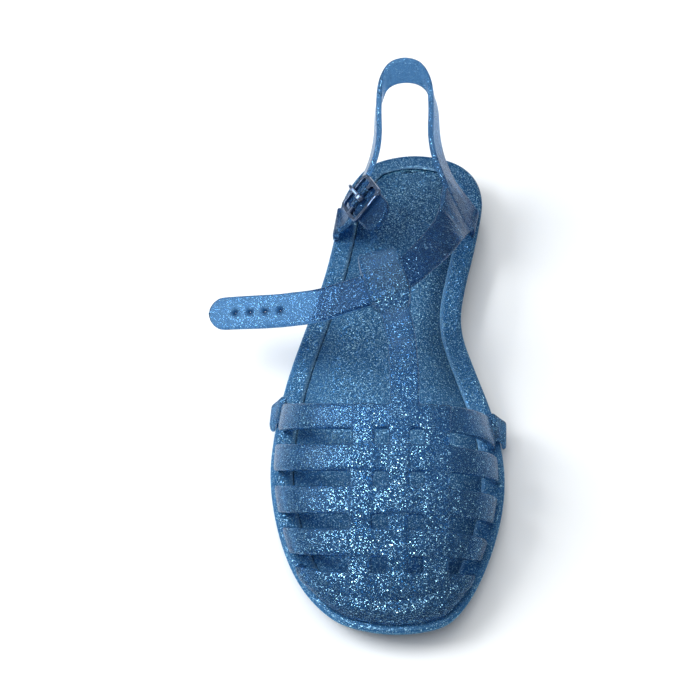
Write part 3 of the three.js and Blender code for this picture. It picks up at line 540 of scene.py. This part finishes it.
# %% Troughs and ridges
def skin_points(piece):
    """Places and directions of a piece's points, as two tables."""
    table = np.empty((2, len(piece.data.vertices) * 3))
    piece.data.vertices.foreach_get("co", table[0])
    piece.data.vertices.foreach_get("normal", table[1])
    return table[0].reshape(-1, 3), table[1].reshape(-1, 3)


def distance_to(path, places):
    """How far each place is from a path; a path without heights is measured in plan."""
    points = np.array(path) * MM
    places = places[:, :points.shape[1]]
    nearest = np.full(len(places), np.inf)
    for start, end in zip(points[:-1], points[1:]):
        run = end - start
        share = np.clip(((places - start) @ run) / (run @ run), 0, 1)
        away = places - start - np.outer(share, run)
        nearest = np.minimum(nearest, np.linalg.norm(away, axis=1))
    return nearest


def press(piece, path, width, depth, facing=(0, 0, 1)):
    """A soft trough along a path, or a ridge where the depth is negative."""
    places, normals = skin_points(piece)
    turned = np.clip(normals @ np.array(Vector(facing).normalized()), 0, 1)
    push = depth * np.exp(-((distance_to(path, places) / width) ** 2)) * turned
    places -= normals * push[:, None]
    piece.data.vertices.foreach_set("co", places.ravel())
    piece.data.update()
    print(piece.name, "pressed by up to", round(float(np.abs(push).max()) / MM, 2), "mm")


# %% Creases of the straps
OVER_INSTEP = (0.5, -0.3, 0.8)
OVER_FREE_END = (-0.3, -0.4, 0.9)
# Each crease: its path, its width, its depth (less than zero for a ridge) and its facing.
STRAP_CREASES = [
    ([(26.5, -32.5, 28.5), (17.5, -25.5, 39.5)], 3.0, 0.5, OVER_INSTEP),
    ([(21.0, -54.0, 39.0), (11.0, -45.0, 43.0)], 3.0, 0.5, OVER_INSTEP),
    ([(-29.5, -86.0, 35.5), (-31.0, -73.0, 40.0)], 3.0, 0.35, OVER_FREE_END),
    ([(-41.0, -85.5, 31.5), (-42.5, -72.0, 36.5)], 3.5, -0.25, OVER_FREE_END),
]
for path, width, depth, facing in STRAP_CREASES:
    press(straps, path, width * MM, depth * MM, facing)

# %% Creases, toe line and sags of the vamp
TOE_LINE = [
    (-32.0, -190.0), (-22.0, -199.5), (-13.0, -203.0), (0.5, -206.0),
    (17.0, -203.5), (24.5, -199.5), (32.0, -193.5),
]
# Two creases of the T-bar, the line round the toe, and a sag at each side of the weave.
VAMP_CREASES = [
    ([(-1.0, -106.0, 49.5), (11.0, -108.5, 49.5)], 4.0, 0.35),
    ([(0.5, -133.5, 49.5), (13.5, -134.5, 49.5)], 4.0, 0.35),
    (TOE_LINE, 0.9, 0.7),
    ([(-27.0, -142.0), (-27.0, -176.0)], 5.0, 0.4),
    ([(33.0, -146.0), (31.0, -178.0)], 5.0, 0.4),
]
for path, width, depth in VAMP_CREASES:
    press(vamp, path, width * MM, depth * MM)

# %% Beds of the pad
# Under the heel, under the ball, and the ridge that the toes leave in front of it.
PAD_BEDS = [
    ([(0.0, 14.0), (0.0, -8.0)], 15.0, 0.5),
    ([(-14.0, -128.0), (16.0, -134.0)], 19.0, 0.5),
    ([(-16.0, -163.0), (0.0, -169.0), (20.0, -166.0)], 5.0, -0.35),
]
for path, width, depth in PAD_BEDS:
    press(pad, path, width * MM, depth * MM)

# %% [markdown]
# ## Holes of the ankle strap
#
# A hole in clear plastic looks dark, because its wall bends the light away. The strap's
# points near each hole carry a number for that, and the plastic paints that much shade
# there. A moulded hole also narrows to its middle, where the two pins of the mould meet.

# %% Shade of the holes
HOLE_COUNT = 4
FIRST_HOLE = np.array((-67.3, -74.6, 26.7))
LAST_HOLE = np.array((-47.5, -77.9, 31.9))
HOLE_AXIS = np.array(Vector((-0.29, -0.38, 0.87)).normalized())
HOLE_SHADE_FROM = 1.2 * MM
HOLE_SHADE_TO = 2.3 * MM
HOLE_WALL_REACH = 1.8 * MM
HOLE_WAIST = 1.0 * MM
HALF_WALL = 1.25 * MM
HOLE_CORE = 0.1 * MM


def shade_holes(piece):
    """Marks the points around each hole for painted shade, most at its wall, and narrows its
    middle.
    """
    places, normals = skin_points(piece)
    shade = np.zeros(len(places))
    for share in np.linspace(0, 1, HOLE_COUNT):
        gap = places - (FIRST_HOLE + share * (LAST_HOLE - FIRST_HOLE)) * MM
        deep = gap @ HOLE_AXIS
        out = gap - np.outer(deep, HOLE_AXIS)
        aside = np.linalg.norm(out, axis=1)
        shade = np.maximum(shade, (HOLE_SHADE_TO - aside) / (HOLE_SHADE_TO - HOLE_SHADE_FROM))
        at_wall = aside < HOLE_WALL_REACH
        narrow = HOLE_WAIST * np.clip(1 - (deep / HALF_WALL) ** 2, 0, 1) * at_wall
        places -= out * (narrow / np.maximum(aside, HOLE_CORE))[:, None]
    piece.data.vertices.foreach_set("co", places.ravel())
    piece.data.update()
    layer = piece.data.attributes.new("hole_shade", "FLOAT", "POINT")
    layer.data.foreach_set("value", np.clip(shade, 0, 1))
    print("points shaded at the holes:", int((shade > 0).sum()))


shade_holes(straps)

# %% [markdown]
# ## Buckle
#
# The buckle is plated metal, which looks dark blue-grey in the photo. Its frame and prong
# already have their shape, so they are only subdivided, and a noise pattern makes their tone
# and gloss faintly uneven, as handled plating is.

# %% Metal
WEAR_SCALE = 700.0
WEAR_DETAIL = 5.0
METAL_DARK = (0.04, 0.075, 0.15)
METAL_LIGHT = (0.2, 0.27, 0.4)
METAL_ROUGHNESS = (0.12, 0.34)


def plated_metal():
    """Dark plating with a faintly uneven tone and gloss."""
    material, tree, shader = new_material("plated_metal")
    place = add(tree, "ShaderNodeTexCoord").outputs["Object"]
    wear = add(tree, "ShaderNodeTexNoise", {
        "Vector": place, "Scale": WEAR_SCALE, "Detail": WEAR_DETAIL,
    }).outputs["Fac"]
    rough = ranged(tree, wear, (0.0, 1.0), *METAL_ROUGHNESS)
    tone = mix_colour(tree, wear, (*METAL_DARK, 1), (*METAL_LIGHT, 1))
    tree.links.new(rough, shader.inputs["Roughness"])
    tree.links.new(tone, shader.inputs["Base Color"])
    shader.inputs["Metallic"].default_value = 1.0
    return material


METAL = plated_metal()
buckle = moulding("buckle_frame", "buckle_loop", sharp=32, levels=2)
prong = moulding("buckle_prong", "buckle_pin", sharp=32, levels=2)
for piece in (buckle, prong):
    piece.data.materials.append(METAL)
